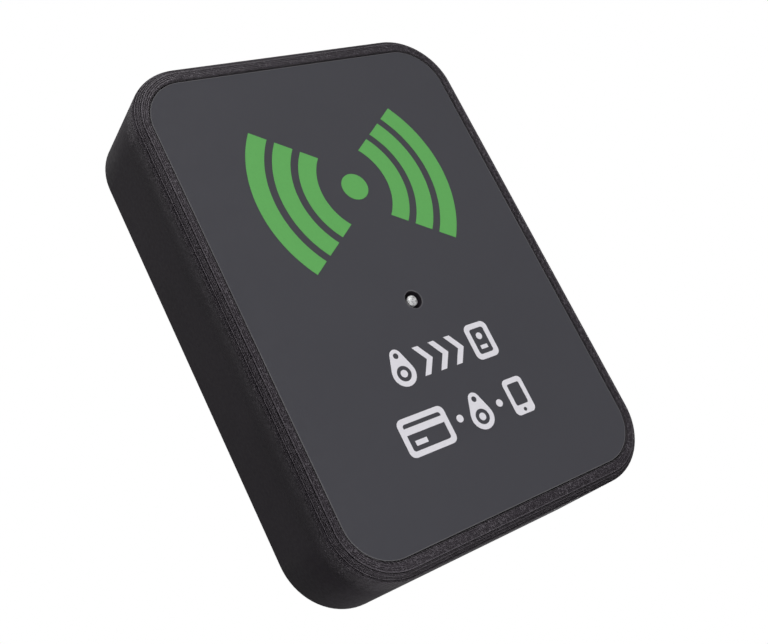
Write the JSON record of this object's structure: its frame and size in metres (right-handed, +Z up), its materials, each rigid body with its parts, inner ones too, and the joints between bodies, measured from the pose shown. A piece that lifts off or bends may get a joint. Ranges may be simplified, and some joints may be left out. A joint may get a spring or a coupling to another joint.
{
  "type": "contactless ticket validator",
  "caption": "Wall-mounted contactless tag reader: printed black housing, grey front film with a green wave symbol, small indicator, boards inside and a screwed rear cover.",
  "frame": {"origin": "middle of the rear mounting face, where the reader meets the wall or bracket", "axes": "+Z up as mounted, +Y out of the rear face towards the wall, the front looks along -Y, +X to the right seen from the front"},
  "size_m": [0.085, 0.0235, 0.118],
  "materials": {
    "housing_plastic": "matte, printed layers",
    "overlay_film": "satin",
    "green_print": "satin",
    "light_print": "satin",
    "clear_pipe": "clear, polished",
    "led_package": "gloss",
    "board_laminate": "solder resist",
    "aerial_copper": "under resist",
    "chip_epoxy": "matte",
    "ceramic_parts": "satin",
    "screw_steel": "zinc plated",
    "black_nylon": "moulded",
    "pin_gold": "gold flash",
    "module_laminate": "black solder resist",
    "shield_tin": "tinned",
    "can_aluminium": "drawn can",
    "terminal_green": "moulded",
    "switch_body": "moulded",
    "button_red": "moulded",
    "button_black": "moulded",
    "insert_brass": "knurled",
    "foam_rubber": "closed-cell foam",
    "screw_black": "black oxide",
    "grommet_rubber": "matte"
  },
  "bodies": {
    "rear_mount": {"rear_cover": "housing_plastic", "cover_gasket": "foam_rubber", "cover_screws": "screw_black", "bracket_inserts": "insert_brass", "cable_grommet": "grommet_rubber"},
    "reader_head": {"front_housing": "housing_plastic", "graphic_overlay": "overlay_film", "wave_symbol": "green_print", "tag_pictograms": "light_print", "light_pipe": "clear_pipe", "status_led": "led_package", "antenna_board": "board_laminate", "antenna_coil": "aerial_copper", "reader_chip": "chip_epoxy", "antenna_parts": "ceramic_parts", "antenna_screws": "screw_steel", "header_strip": "black_nylon", "header_pins": "pin_gold", "control_board": "board_laminate", "radio_module": "module_laminate", "module_shield": "shield_tin", "controller_chip": "chip_epoxy", "small_chips": "chip_epoxy", "clock_crystal": "shield_tin", "capacitors": "can_aluminium", "buzzer": "black_nylon", "terminal_block": "terminal_green", "terminal_screws": "screw_steel", "reset_switch": "switch_body", "setup_switch": "switch_body", "board_screws": "screw_steel", "thread_inserts": "insert_brass"},
    "reset_plunger": {"reset_button": "button_red"},
    "setup_plunger": {"setup_button": "button_black"}
  },
  "joints": [
    {"name": "head_lift", "type": "slide", "parent": "rear_mount", "child": "reader_head", "axis": [0, -1, 0], "range_m": [0, 0.06]},
    {"name": "reset_press", "type": "slide", "parent": "reader_head", "child": "reset_plunger", "axis": [0, -1, 0], "range_m": [0, 0.00025], "stiffness_N_per_m": 3000},
    {"name": "setup_press", "type": "slide", "parent": "reader_head", "child": "setup_plunger", "axis": [0, -1, 0], "range_m": [0, 0.00025], "stiffness_N_per_m": 3000}
  ]
}
